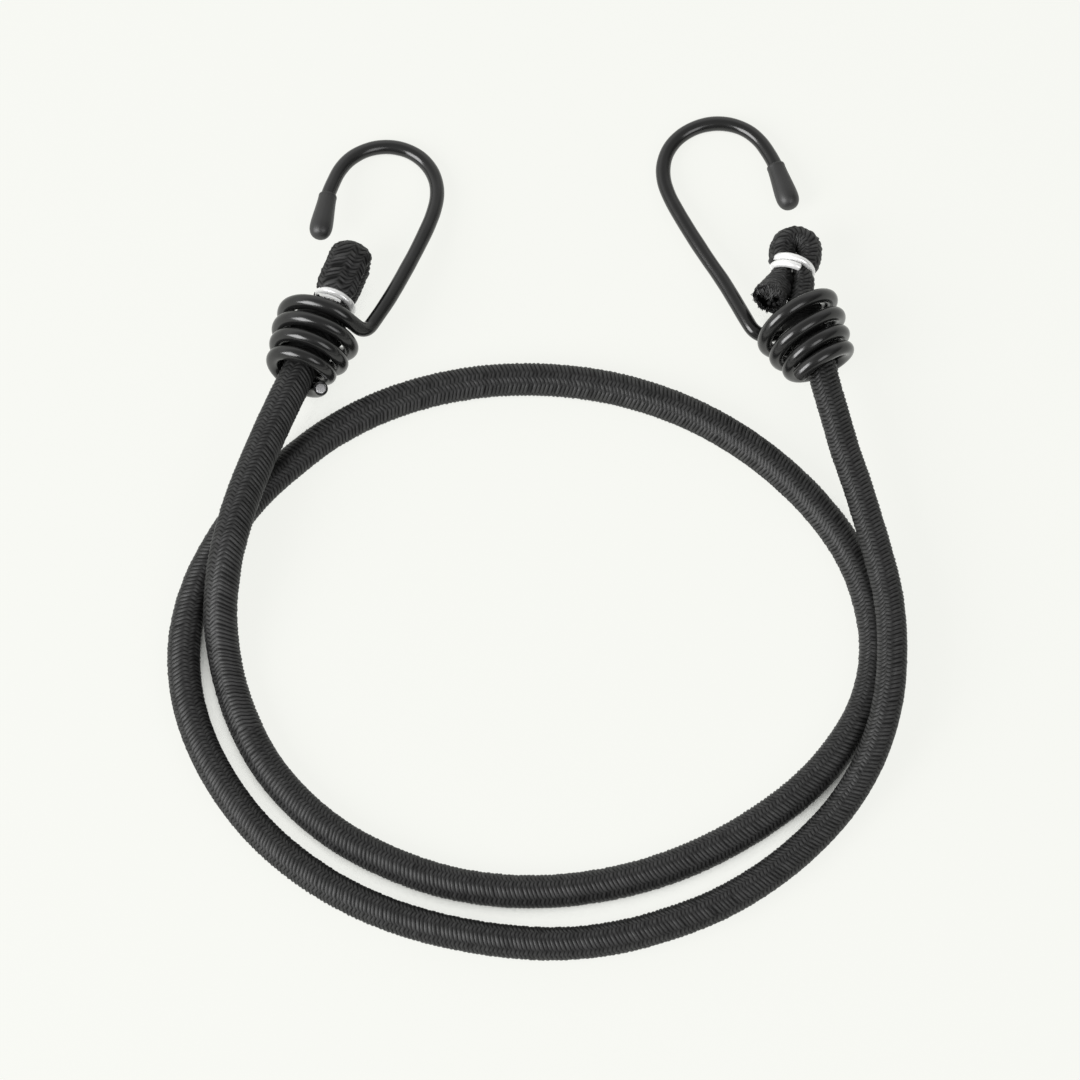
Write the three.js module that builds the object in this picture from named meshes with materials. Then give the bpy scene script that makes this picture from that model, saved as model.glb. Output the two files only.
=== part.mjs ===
// Bungee cord: a braided elastic cord lying in a loose double loop, with a
// coated steel wire hook on each end. Each hook's wire is wound into a coil
// round the cord. Past the coil the cord is folded back on itself, and a crimp
// ring round both legs of the fold keeps the cord from pulling out.
// Millimetres, +Z up. The origin is at the centre of the two hooks' footprint,
// on the surface that the cord lies on.
import * as THREE from 'three';

// ---- driving dimensions ----
const CORD_R = 4.0;          // braided sheath, outside radius
const CORD_SIDES = 10;
const SHEATH_WALL = 0.7;     // thickness of the braid
const CORE_GAP = 0.3;        // between the braid and the rubber core
const FOLD_R = 3.25;         // folded cord, outside radius before it is pressed to its sizes
const FOLD_SIDES = 8;
const COAT_R = 1.78;         // plastic coating, outside radius
const COAT_WALL = 0.42;      // thickness of the coating
const WIRE_GAP = 0.2;        // between the coating and the wire
const WIRE_SIDES = 8;
const ELBOW_R = 3.4;         // bend where the coil turns up into the shank
const RING_WIRE_R = 0.88;    // crimp ring wire
const RING_R = 4.6;          // crimp ring, radius of the wire's centreline
const RING_FROM = 68;        // degrees from the level side to the wire's first end
const RING_SWEEP = 492;      // degrees that the wire goes round
const RING_PITCH = 2.0;
const CAP_LENGTH = 12.3;     // tip cap, from its mouth to its end
const CAP_MOUTH_R = 2.42;
const CAP_BULB_R = 2.78;
const CAP_SOCKET_R = 2.08;   // clears the coating by 0.3
const CAP_SOCKET_DEPTH = 9.6;

// ---- the cord's route ----
// loop, from the left end to the right end
const LOOP = [
  [-79.66, -79.42, 11.69], [-79.95, -80.97, 11.42], [-80.93, -91.77, 7.93], [-79.47, -104.08, 4.31], [-75.74, -116.55, 4.08],
  [-69.88, -128.17, 4.08], [-61.64, -138.22, 4.08], [-51.58, -146.48, 4.08], [-40.13, -152.67, 4.08], [-27.89, -157.11, 4.08],
  [-15.07, -159.39, 4.08], [-2.06, -159.65, 4.08], [10.86, -157.95, 4.08], [23.44, -154.60, 4.08], [35.43, -149.51, 4.08],
  [46.65, -142.88, 4.08], [56.95, -134.91, 4.08], [65.65, -125.25, 4.08], [72.13, -113.98, 4.08], [74.99, -101.34, 4.08],
  [73.79, -88.41, 4.08], [69.54, -76.11, 4.08], [62.50, -65.17, 4.08], [53.71, -55.57, 4.08], [43.63, -47.32, 4.08],
  [32.46, -40.63, 4.08], [20.41, -35.69, 4.08], [7.77, -32.58, 4.08], [-5.19, -31.31, 4.08], [-18.21, -31.80, 4.08],
  [-31.01, -34.19, 4.08], [-43.29, -38.47, 4.08], [-54.72, -44.70, 4.08], [-64.91, -52.80, 4.08], [-74.09, -62.04, 4.08],
  [-81.33, -72.86, 4.08], [-86.75, -84.69, 4.08], [-89.44, -97.41, 4.08], [-88.84, -110.40, 4.08], [-85.16, -122.89, 4.08],
  [-79.12, -134.43, 4.08], [-71.19, -144.75, 4.08], [-61.55, -153.49, 4.08], [-50.64, -160.58, 4.08], [-38.77, -165.92, 4.08],
  [-26.26, -169.55, 4.08], [-13.42, -171.76, 4.08], [-0.42, -172.45, 4.08], [12.53, -171.07, 4.08], [25.11, -167.70, 4.08],
  [37.20, -162.83, 4.08], [48.34, -156.10, 4.08], [58.35, -147.76, 4.08], [67.00, -138.12, 5.01], [73.50, -127.27, 8.00],
  [77.36, -115.20, 10.78], [78.63, -102.28, 11.63], [77.94, -89.28, 11.68], [75.63, -78.10, 11.68], [75.21, -76.56, 11.68]
];
// stretching length between the left coil and the loop, from the coil
const LEFT_STRETCH = [
  [-66.16, -40.22, 12.88], [-66.80, -41.69, 12.88], [-69.42, -47.79, 12.88], [-72.48, -55.44, 12.88], [-75.34, -63.16, 12.78],
  [-77.72, -71.04, 12.52], [-79.24, -77.48, 11.95], [-79.58, -79.03, 11.75]
];
// stretching length between the loop and the right coil, towards the coil
const RIGHT_STRETCH = [
  [75.11, -76.17, 11.68], [74.67, -74.63, 11.68], [72.96, -68.17, 11.68], [70.73, -60.20, 11.68], [68.23, -52.31, 11.74],
  [66.12, -44.30, 11.82], [64.38, -37.86, 11.91], [64.00, -36.30, 11.93]
];

// ---- hooks and folded ends ----
const LEFT = {
  // coil: a point on its axis, the axis towards the hook's arc, and the shank's side of it
  coilAt: [-56.74, -16.82, 10.38],
  coilAxis: [0.3557, 0.9266, -0.1219],
  shankSide: [0.9336, -0.3584, 0.0000],
  // wound right-handed: [angle in degrees from the shank's side, radius, distance along the axis]
  turns: [
    [-1440, 6.40, -18.50], [-1395, 6.40, -17.90], [-1350, 6.45, -17.30], [-1305, 6.50, -16.69], [-1260, 6.77, -16.30],
    [-1215, 7.04, -16.01], [-1170, 6.90, -15.80], [-1125, 6.83, -15.41], [-1080, 6.98, -14.73], [-1035, 7.08, -13.97],
    [-990, 7.22, -13.21], [-945, 7.41, -12.52], [-900, 7.71, -11.97], [-855, 8.15, -11.63], [-810, 8.24, -11.50],
    [-765, 8.28, -11.29], [-720, 8.55, -10.78], [-675, 8.63, -10.11], [-630, 8.61, -9.36], [-585, 8.61, -8.61],
    [-540, 8.69, -7.92], [-495, 8.98, -7.39], [-450, 9.03, -7.01], [-405, 9.11, -6.58], [-360, 9.24, -6.04],
    [-315, 9.29, -5.43], [-270, 9.24, -4.75], [-225, 9.18, -4.05], [-180, 9.14, -3.36], [-135, 9.21, -2.78],
    [-90, 9.26, -2.38], [-45, 9.30, -2.24], [0, 9.38, -2.15]
  ],
  coilFrom: -1430.0,
  coilTo: -42.0,
  coilSteps: 42,
  // corner where the wire turns up into the shank, and the plane of shank, arc and tip
  corner: [-46.82, -22.45, 12.10],
  along: [0.4154, 0.8877, -0.1986],
  across: [-0.9057, 0.4240, 0.0007],
  // centreline of shank, arc and tip in that plane: [along, across]
  bend: [
    [11.60, -0.91], [20.10, -1.02], [28.10, -0.87], [35.40, -0.43], [39.30, 0.11], [43.09, 1.12],
    [46.56, 2.94], [49.38, 5.65], [51.22, 9.10], [51.80, 12.97], [51.05, 16.82], [49.12, 20.22],
    [46.26, 22.90], [42.77, 24.68], [38.94, 25.42], [35.01, 25.30], [31.10, 24.85], [27.72, 23.95],
    [22.22, 22.47]
  ],
  arcTop: 9,
  capMouth: [-56.40, 15.70, 5.94],
  capEnd: [-58.44, 3.82, 8.29],
  // folded cord end, from below the coil, up to the fold and back to the cut:
  // [x, y, z, half its size in the fold's plane, half its size across that plane]
  fold: [
    [-66.05, -39.94, 12.88, 3.60, 3.60], [-61.72, -29.80, 12.09, 4.00, 4.00], [-59.23, -23.31, 11.23, 4.40, 4.40], [-56.91, -18.63, 9.05, 3.40, 3.60],
    [-55.54, -16.47, 8.54, 1.50, 2.50], [-54.70, -14.29, 8.30, 1.50, 2.50], [-53.85, -12.12, 7.96, 1.50, 2.50], [-53.68, -10.65, 6.58, 2.65, 4.00],
    [-52.88, -7.86, 5.92, 3.00, 4.70], [-51.49, -4.25, 5.44, 3.05, 4.70], [-50.88, -2.67, 5.68, 3.05, 4.70], [-50.40, -1.41, 6.73, 3.05, 4.50],
    [-50.17, -0.81, 8.31, 3.05, 4.50], [-50.26, -1.03, 10.01, 3.05, 4.50], [-50.63, -2.02, 11.35, 3.05, 4.70], [-51.20, -3.50, 11.99, 3.05, 4.70],
    [-52.59, -7.11, 12.47, 3.00, 4.75], [-53.42, -9.96, 12.53, 2.65, 4.30], [-53.70, -11.71, 11.54, 1.50, 2.50], [-54.55, -13.89, 11.77, 1.50, 2.50],
    [-55.38, -16.06, 12.11, 1.50, 2.50], [-55.78, -17.08, 12.65, 1.70, 2.90]
  ],
  // across the fold's plane
  foldAcross: [0.9336, -0.3584, 0.0000],
  // crimp ring: centre, its axis, and the level direction across it
  ringAt: [-54.63, -14.09, 10.04],
  ringAxis: [0.3557, 0.9266, -0.1219],
  ringSide: [0.9336, -0.3584, 0.0000],
};
const RIGHT = {
  // coil: a point on its axis, the axis towards the hook's arc, and the shank's side of it
  coilAt: [55.98, -16.14, 10.72],
  coilAxis: [-0.4523, 0.8876, -0.0872],
  shankSide: [-0.8910, -0.4540, -0.0000],
  // wound right-handed: [angle in degrees from the shank's side, radius, distance along the axis]
  turns: [
    [-1440, 8.10, -17.10], [-1395, 7.00, -16.98], [-1350, 6.45, -16.67], [-1305, 6.46, -16.00], [-1260, 6.85, -15.11],
    [-1215, 7.52, -14.30], [-1170, 7.88, -13.78], [-1125, 7.85, -13.52], [-1080, 7.80, -13.36], [-1035, 7.51, -13.17],
    [-990, 7.40, -12.74], [-945, 7.59, -12.00], [-900, 7.84, -11.16], [-855, 8.14, -10.49], [-810, 8.53, -9.95],
    [-765, 8.87, -9.53], [-720, 9.15, -9.18], [-675, 9.01, -8.95], [-630, 8.76, -8.53], [-585, 8.94, -7.63],
    [-540, 8.98, -6.76], [-495, 9.17, -6.07], [-450, 9.46, -5.48], [-405, 9.71, -4.94], [-360, 9.80, -4.38],
    [-315, 9.75, -3.80], [-270, 9.68, -3.15], [-225, 9.54, -2.54], [-180, 9.37, -1.98], [-135, 9.21, -1.41],
    [-90, 9.05, -0.84], [-45, 8.89, -0.27]
  ],
  coilFrom: -1418.0,
  coilTo: -58.0,
  coilSteps: 42,
  // corner where the wire turns up into the shank, and the plane of shank, arc and tip
  corner: [47.53, -21.51, 6.88],
  along: [-0.4949, 0.8642, -0.0906],
  across: [0.8678, 0.4968, -0.0019],
  // centreline of shank, arc and tip in that plane: [along, across]
  bend: [
    [16.50, 0.54], [25.00, 0.34], [33.00, 0.34], [40.23, 0.60], [44.10, 0.97], [47.89, 1.86],
    [51.35, 3.62], [54.16, 6.30], [56.00, 9.71], [56.68, 13.53], [56.29, 17.40], [54.83, 21.00],
    [52.40, 24.03], [49.20, 26.23], [45.49, 27.36], [41.60, 27.56], [37.71, 27.30], [34.28, 26.57],
    [28.71, 25.38]
  ],
  arcTop: 9,
  capMouth: [52.56, 24.64, 3.41],
  capEnd: [56.29, 12.96, 4.51],
  // folded cord end, from below the coil, up to the fold and back to the cut:
  // [x, y, z, half its size in the fold's plane, half its size across that plane]
  fold: [
    [63.93, -36.01, 11.94, 3.55, 3.55], [62.56, -29.69, 11.88, 3.60, 3.60], [60.75, -22.35, 11.38, 3.70, 3.70], [57.76, -14.09, 11.78, 3.20, 3.40],
    [58.01, -11.31, 11.32, 2.70, 3.20], [57.96, -9.58, 11.00, 2.25, 3.00], [57.37, -7.96, 10.81, 1.50, 2.50], [57.87, -5.68, 10.50, 1.50, 2.50],
    [58.46, -3.43, 10.19, 1.50, 2.50], [59.78, -2.22, 10.00, 2.60, 3.10], [60.16, -0.83, 9.81, 3.00, 3.35], [60.12, 0.79, 9.60, 3.00, 3.35],
    [59.26, 2.17, 9.45, 3.00, 3.35], [57.83, 2.94, 9.40, 3.00, 3.35], [56.20, 2.90, 9.45, 3.00, 3.35], [54.81, 2.06, 9.60, 3.00, 3.35],
    [54.04, 0.64, 9.81, 3.00, 3.35], [53.90, -0.81, 10.00, 2.70, 3.10], [54.96, -2.59, 10.19, 1.50, 2.50], [54.47, -4.87, 10.50, 1.50, 2.50],
    [53.87, -7.12, 10.81, 1.50, 2.50], [52.60, -8.38, 11.16, 2.30, 2.80], [51.78, -9.85, 11.83, 2.80, 2.90], [51.20, -11.85, 12.91, 3.00, 2.90],
    [50.76, -13.66, 14.06, 3.10, 2.90]
  ],
  // across the fold's plane
  foldAcross: [0.0304, 0.1269, 0.9914],
  // crimp ring: centre, its axis, and the level direction across it
  ringAt: [56.17, -5.27, 10.50],
  ringAxis: [0.2310, 0.9642, -0.1305],
  ringSide: [0.9725, -0.2330, 0.0000],
};

// ---- helpers ----
const V = (p) => new THREE.Vector3(p[0], p[1], p[2]);

// A smooth curve whose evenly numbered stations fall exactly on its points.
class Track extends THREE.CatmullRomCurve3 {
  getPointAt(u, target) { return this.getPoint(u, target); }
  getTangentAt(u, target) { return this.getTangent(u, target); }
}

function polygon(radius, sides, turn) {
  const points = [];
  for (let i = 0; i < sides; i++) {
    const t = turn + (2 * Math.PI * (i + 0.5)) / sides;
    points.push(new THREE.Vector2(radius * Math.cos(t), radius * Math.sin(t)));
  }
  return points;
}

function tube(points, outer, inner, sides, turn = 0) {
  const section = new THREE.Shape(polygon(outer, sides, turn));
  if (inner > 0) section.holes.push(new THREE.Path(polygon(inner, sides, turn)));
  const track = new Track(points, false, 'catmullrom', 0.5);
  return new THREE.ExtrudeGeometry(section, { steps: points.length - 1, extrudePath: track, bevelEnabled: false });
}

// Catmull-Rom value of one column of a table whose first column runs evenly.
function lookUp(table, at, column) {
  const step = table[1][0] - table[0][0];
  const x = Math.min(Math.max((at - table[0][0]) / step, 0), table.length - 1.000001);
  const i = Math.floor(x), t = x - i;
  const p = (k) => table[Math.min(Math.max(k, 0), table.length - 1)][column];
  const a = p(i - 1), b = p(i), c = p(i + 1), d = p(i + 2);
  return 0.5 * (2 * b + (c - a) * t + (2 * a - 5 * b + 4 * c - d) * t * t + (3 * b - a - 3 * c + d) * t * t * t);
}

// Centreline of one hook's wire: coil from its free end, elbow, shank, arc, tip.
function wirePoints(side) {
  const axis = V(side.coilAxis), out = V(side.shankSide), up = axis.clone().cross(out);
  const points = [];
  for (let i = 0; i <= side.coilSteps; i++) {
    const deg = side.coilFrom + ((side.coilTo - side.coilFrom) * i) / side.coilSteps;
    const r = lookUp(side.turns, deg, 1), h = lookUp(side.turns, deg, 2), t = THREE.MathUtils.degToRad(deg);
    points.push(V(side.coilAt).addScaledVector(out, r * Math.cos(t)).addScaledVector(up, r * Math.sin(t)).addScaledVector(axis, h));
  }
  const corner = V(side.corner), along = V(side.along), across = V(side.across);
  const bend = side.bend.map(([x, y]) => corner.clone().addScaledVector(along, x).addScaledVector(across, y));
  const back = points[points.length - 1].clone().sub(corner).normalize();
  const on = bend[0].clone().sub(corner).normalize();
  const angle = back.angleTo(on), reach = ELBOW_R / Math.tan(angle / 2);
  const centre = corner.clone().addScaledVector(back.clone().add(on).normalize(), ELBOW_R / Math.sin(angle / 2));
  const from = corner.clone().addScaledVector(back, reach).sub(centre);
  const to = corner.clone().addScaledVector(on, reach).sub(centre);
  for (let i = 0; i <= 4; i++) {
    points.push(from.clone().lerp(to, i / 4).setLength(ELBOW_R).add(centre));
  }
  const first = points.length;
  return { points: points.concat(bend), arcTop: first + side.arcTop };
}

// Turn of the wire's section that puts one flat of the coating on the inside
// of the arc, square to the shank, where a load hangs.
function sectionTurn(side, points, station) {
  const frames = new Track(points, false, 'catmullrom', 0.5).computeFrenetFrames(points.length - 1, false);
  const inside = V(side.along).negate();
  const n = frames.normals[station].clone().add(frames.normals[station + 1]);
  const b = frames.binormals[station].clone().add(frames.binormals[station + 1]);
  return Math.atan2(inside.dot(b), inside.dot(n));
}

function capGeometry() {
  const profile = [
    [0, CAP_LENGTH], [1.25, CAP_LENGTH - 0.32], [2.2, CAP_LENGTH - 1.2], [CAP_BULB_R, CAP_LENGTH - 2.9],
    [CAP_BULB_R - 0.02, CAP_LENGTH - 4.6], [CAP_MOUTH_R + 0.12, CAP_LENGTH - 8.4], [CAP_MOUTH_R, 0.5], [CAP_MOUTH_R - 0.12, 0],
    [CAP_SOCKET_R, 0], [CAP_SOCKET_R, CAP_SOCKET_DEPTH], [0, CAP_SOCKET_DEPTH],
  ].reverse().map(([r, y]) => new THREE.Vector2(r, y));
  return new THREE.LatheGeometry(profile, 14);
}

function ringPoints(side) {
  const axis = V(side.ringAxis), level = V(side.ringSide), up = level.clone().cross(axis);
  const points = [], steps = 26;
  for (let i = 0; i <= steps; i++) {
    const deg = RING_FROM + (RING_SWEEP * i) / steps, t = THREE.MathUtils.degToRad(deg);
    const h = (RING_PITCH * (deg - RING_FROM - RING_SWEEP / 2)) / 360;
    points.push(V(side.ringAt).addScaledVector(level, RING_R * Math.cos(t)).addScaledVector(up, RING_R * Math.sin(t)).addScaledVector(axis, h));
  }
  return points;
}

// Presses a round tube made along the fold to the fold's own sizes, station by
// station, and keeps its wall as thick as it was.
function press(geometry, side, points) {
  const track = new Track(points, false, 'catmullrom', 0.5), across = V(side.foldAcross);
  const stations = points.map((centre, i) => {
    const t = track.getTangent(i / (points.length - 1));
    const thin = across.clone().cross(t).normalize();
    return { centre, t, thin, wide: t.clone().cross(thin), sizes: side.fold[i].slice(3) };
  });
  const position = geometry.getAttribute('position'), p = new THREE.Vector3(), d = new THREE.Vector3();
  for (let i = 0; i < position.count; i++) {
    p.fromBufferAttribute(position, i);
    let best = null, off = Infinity;
    for (const s of stations) {
      d.copy(p).sub(s.centre);
      const miss = Math.abs(d.dot(s.t)) + (d.length() > FOLD_R + 0.01 ? 1 : 0);
      if (miss < off) { off = miss; best = s; }
    }
    d.copy(p).sub(best.centre);
    const r = d.length(), less = FOLD_R - r;
    const a = (d.dot(best.thin) * (best.sizes[0] - less)) / r, b = (d.dot(best.wide) * (best.sizes[1] - less)) / r;
    p.copy(best.centre).addScaledVector(best.thin, a).addScaledVector(best.wide, b);
    position.setXYZ(i, p.x, p.y, p.z);
  }
  geometry.computeVertexNormals();
  return geometry;
}

// ---- assembly ----
const bungee = new THREE.Group();

function add(name, geometry, color, roughness, metalness) {
  const mesh = new THREE.Mesh(geometry, new THREE.MeshStandardMaterial({ color, roughness, metalness }));
  mesh.name = name;
  bungee.add(mesh);
  return mesh;
}

const BRAID = [0x2b2b2c, 0.85, 0], RUBBER = [0x2a2928, 0.7, 0], STEEL = [0xb9bbbd, 0.35, 1];
const COATING = [0x1c1c1d, 0.3, 0], CAP = [0x353536, 0.55, 0], RING = [0xd9dadc, 0.22, 1];

function cord(prefix, points, outer, sides) {
  const inner = outer - SHEATH_WALL;
  add(prefix + 'sheath', tube(points, outer, inner, sides), ...BRAID);
  add(prefix + 'core', tube(points, inner - CORE_GAP, 0, sides), ...RUBBER);
}

cord('cord_', LOOP.map(V), CORD_R, CORD_SIDES);
cord('left_stretch_', LEFT_STRETCH.map(V), CORD_R, CORD_SIDES);
cord('right_stretch_', RIGHT_STRETCH.map(V), CORD_R, CORD_SIDES);

for (const [name, side] of [['left', LEFT], ['right', RIGHT]]) {
  const fold = side.fold.map(V), inside = FOLD_R - SHEATH_WALL;
  add(name + '_end_sheath', press(tube(fold, FOLD_R, inside, FOLD_SIDES), side, fold), ...BRAID);
  add(name + '_end_core', press(tube(fold, inside - CORE_GAP, 0, FOLD_SIDES), side, fold), ...RUBBER);
  add(name + '_crimp_ring', tube(ringPoints(side), RING_WIRE_R, 0, 6), ...RING);
  const { points, arcTop } = wirePoints(side);
  const turn = sectionTurn(side, points, arcTop);
  add(name + '_hook_coating', tube(points, COAT_R, COAT_R - COAT_WALL, WIRE_SIDES, turn), ...COATING);
  add(name + '_hook_wire', tube(points, COAT_R - COAT_WALL - WIRE_GAP, 0, WIRE_SIDES, turn), ...STEEL);
  const cap = add(name + '_hook_tip', capGeometry(), ...CAP);
  const mouth = V(side.capMouth), end = V(side.capEnd);
  cap.position.copy(mouth);
  cap.quaternion.setFromUnitVectors(new THREE.Vector3(0, 1, 0), end.clone().sub(mouth).normalize());
}

export default bungee;
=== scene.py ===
import math

import bpy
import numpy as np
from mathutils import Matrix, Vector


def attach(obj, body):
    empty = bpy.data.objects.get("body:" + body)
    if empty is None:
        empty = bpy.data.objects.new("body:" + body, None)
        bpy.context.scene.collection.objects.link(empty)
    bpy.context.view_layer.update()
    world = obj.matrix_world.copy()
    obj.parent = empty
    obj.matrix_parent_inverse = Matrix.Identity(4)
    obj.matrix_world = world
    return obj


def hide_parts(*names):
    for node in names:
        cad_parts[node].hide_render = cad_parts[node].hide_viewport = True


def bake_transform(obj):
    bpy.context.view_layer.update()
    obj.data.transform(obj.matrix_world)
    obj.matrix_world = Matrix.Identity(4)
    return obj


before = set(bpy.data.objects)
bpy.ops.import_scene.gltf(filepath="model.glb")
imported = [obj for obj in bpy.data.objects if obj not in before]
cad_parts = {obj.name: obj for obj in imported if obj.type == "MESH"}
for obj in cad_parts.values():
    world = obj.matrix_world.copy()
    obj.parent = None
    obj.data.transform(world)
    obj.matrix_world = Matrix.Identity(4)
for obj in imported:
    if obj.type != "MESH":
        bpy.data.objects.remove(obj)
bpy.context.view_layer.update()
MM = 0.001
rng = np.random.default_rng(11)

# ---------------------------------------------------------------- camera
EYE = Vector((-0.00484, -0.61774, 1.58835))
LOOK = Vector((-0.00484, -0.07079, -0.00012))
cam_data = bpy.data.cameras.new("camera")
cam_data.lens, cam_data.sensor_width, cam_data.sensor_fit = 233.333, 36.0, "HORIZONTAL"
cam_data.clip_start, cam_data.clip_end = 0.05, 60.0
camera = bpy.data.objects.new("camera", cam_data)
camera.location = EYE
camera.rotation_mode = "QUATERNION"
camera.rotation_quaternion = (LOOK - EYE).to_track_quat("-Z", "Y")
bpy.context.scene.collection.objects.link(camera)
bpy.context.scene.camera = camera

# ---------------------------------------------------------------- route and hooks, millimetres
LOOP = [
  [-79.66, -79.42, 11.69], [-79.95, -80.97, 11.42], [-80.93, -91.77, 7.93], [-79.47, -104.08, 4.31], [-75.74, -116.55, 4.08],
  [-69.88, -128.17, 4.08], [-61.64, -138.22, 4.08], [-51.58, -146.48, 4.08], [-40.13, -152.67, 4.08], [-27.89, -157.11, 4.08],
  [-15.07, -159.39, 4.08], [-2.06, -159.65, 4.08], [10.86, -157.95, 4.08], [23.44, -154.60, 4.08], [35.43, -149.51, 4.08],
  [46.65, -142.88, 4.08], [56.95, -134.91, 4.08], [65.65, -125.25, 4.08], [72.13, -113.98, 4.08], [74.99, -101.34, 4.08],
  [73.79, -88.41, 4.08], [69.54, -76.11, 4.08], [62.50, -65.17, 4.08], [53.71, -55.57, 4.08], [43.63, -47.32, 4.08],
  [32.46, -40.63, 4.08], [20.41, -35.69, 4.08], [7.77, -32.58, 4.08], [-5.19, -31.31, 4.08], [-18.21, -31.80, 4.08],
  [-31.01, -34.19, 4.08], [-43.29, -38.47, 4.08], [-54.72, -44.70, 4.08], [-64.91, -52.80, 4.08], [-74.09, -62.04, 4.08],
  [-81.33, -72.86, 4.08], [-86.75, -84.69, 4.08], [-89.44, -97.41, 4.08], [-88.84, -110.40, 4.08], [-85.16, -122.89, 4.08],
  [-79.12, -134.43, 4.08], [-71.19, -144.75, 4.08], [-61.55, -153.49, 4.08], [-50.64, -160.58, 4.08], [-38.77, -165.92, 4.08],
  [-26.26, -169.55, 4.08], [-13.42, -171.76, 4.08], [-0.42, -172.45, 4.08], [12.53, -171.07, 4.08], [25.11, -167.70, 4.08],
  [37.20, -162.83, 4.08], [48.34, -156.10, 4.08], [58.35, -147.76, 4.08], [67.00, -138.12, 5.01], [73.50, -127.27, 8.00],
  [77.36, -115.20, 10.78], [78.63, -102.28, 11.63], [77.94, -89.28, 11.68], [75.63, -78.10, 11.68], [75.21, -76.56, 11.68]
]
# stretching length between the left coil and the loop, from the coil
LEFT_STRETCH = [
  [-66.16, -40.22, 12.88], [-66.80, -41.69, 12.88], [-69.42, -47.79, 12.88], [-72.48, -55.44, 12.88], [-75.34, -63.16, 12.78],
  [-77.72, -71.04, 12.52], [-79.24, -77.48, 11.95], [-79.58, -79.03, 11.75]
]
# stretching length between the loop and the right coil, towards the coil
RIGHT_STRETCH = [
  [75.11, -76.17, 11.68], [74.67, -74.63, 11.68], [72.96, -68.17, 11.68], [70.73, -60.20, 11.68], [68.23, -52.31, 11.74],
  [66.12, -44.30, 11.82], [64.38, -37.86, 11.91], [64.00, -36.30, 11.93]
]

# hooks and folded ends
LEFT = {
  # coil: a point on its axis, the axis towards the hook's arc, and the shank's side of it
  "coilAt": [-56.74, -16.82, 10.38],
  "coilAxis": [0.3557, 0.9266, -0.1219],
  "shankSide": [0.9336, -0.3584, 0.0000],
  # wound right-handed: [angle in degrees from the shank's side, radius, distance along the axis]
  "turns": [
    [-1440, 6.40, -18.50], [-1395, 6.40, -17.90], [-1350, 6.45, -17.30], [-1305, 6.50, -16.69], [-1260, 6.77, -16.30],
    [-1215, 7.04, -16.01], [-1170, 6.90, -15.80], [-1125, 6.83, -15.41], [-1080, 6.98, -14.73], [-1035, 7.08, -13.97],
    [-990, 7.22, -13.21], [-945, 7.41, -12.52], [-900, 7.71, -11.97], [-855, 8.15, -11.63], [-810, 8.24, -11.50],
    [-765, 8.28, -11.29], [-720, 8.55, -10.78], [-675, 8.63, -10.11], [-630, 8.61, -9.36], [-585, 8.61, -8.61],
    [-540, 8.69, -7.92], [-495, 8.98, -7.39], [-450, 9.03, -7.01], [-405, 9.11, -6.58], [-360, 9.24, -6.04],
    [-315, 9.29, -5.43], [-270, 9.24, -4.75], [-225, 9.18, -4.05], [-180, 9.14, -3.36], [-135, 9.21, -2.78],
    [-90, 9.26, -2.38], [-45, 9.30, -2.24], [0, 9.38, -2.15]
  ],
  "coilFrom": -1430.0,
  "coilTo": -42.0,
  "coilSteps": 42,
  # corner where the wire turns up into the shank, and the plane of shank, arc and tip
  "corner": [-46.82, -22.45, 12.10],
  "along": [0.4154, 0.8877, -0.1986],
  "across": [-0.9057, 0.4240, 0.0007],
  # centreline of shank, arc and tip in that plane: [along, across]
  "bend": [
    [11.60, -0.91], [20.10, -1.02], [28.10, -0.87], [35.40, -0.43], [39.30, 0.11], [43.09, 1.12],
    [46.56, 2.94], [49.38, 5.65], [51.22, 9.10], [51.80, 12.97], [51.05, 16.82], [49.12, 20.22],
    [46.26, 22.90], [42.77, 24.68], [38.94, 25.42], [35.01, 25.30], [31.10, 24.85], [27.72, 23.95],
    [22.22, 22.47]
  ],
  "arcTop": 9,
  "capMouth": [-56.40, 15.70, 5.94],
  "capEnd": [-58.44, 3.82, 8.29],
  # folded cord end, from below the coil, up to the fold and back to the cut:
  # [x, y, z, half its size in the fold's plane, half its size across that plane]
  "fold": [
    [-66.05, -39.94, 12.88, 3.60, 3.60], [-61.72, -29.80, 12.09, 4.00, 4.00], [-59.23, -23.31, 11.23, 4.40, 4.40], [-56.91, -18.63, 9.05, 3.40, 3.60],
    [-55.54, -16.47, 8.54, 1.50, 2.50], [-54.70, -14.29, 8.30, 1.50, 2.50], [-53.85, -12.12, 7.96, 1.50, 2.50], [-53.68, -10.65, 6.58, 2.65, 4.00],
    [-52.88, -7.86, 5.92, 3.00, 4.70], [-51.49, -4.25, 5.44, 3.05, 4.70], [-50.88, -2.67, 5.68, 3.05, 4.70], [-50.40, -1.41, 6.73, 3.05, 4.50],
    [-50.17, -0.81, 8.31, 3.05, 4.50], [-50.26, -1.03, 10.01, 3.05, 4.50], [-50.63, -2.02, 11.35, 3.05, 4.70], [-51.20, -3.50, 11.99, 3.05, 4.70],
    [-52.59, -7.11, 12.47, 3.00, 4.75], [-53.42, -9.96, 12.53, 2.65, 4.30], [-53.70, -11.71, 11.54, 1.50, 2.50], [-54.55, -13.89, 11.77, 1.50, 2.50],
    [-55.38, -16.06, 12.11, 1.50, 2.50], [-55.78, -17.08, 12.65, 1.70, 2.90]
  ],
  # across the fold's plane
  "foldAcross": [0.9336, -0.3584, 0.0000],
  # crimp ring: centre, its axis, and the level direction across it
  "ringAt": [-54.63, -14.09, 10.04],
  "ringAxis": [0.3557, 0.9266, -0.1219],
  "ringSide": [0.9336, -0.3584, 0.0000],
}
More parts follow.
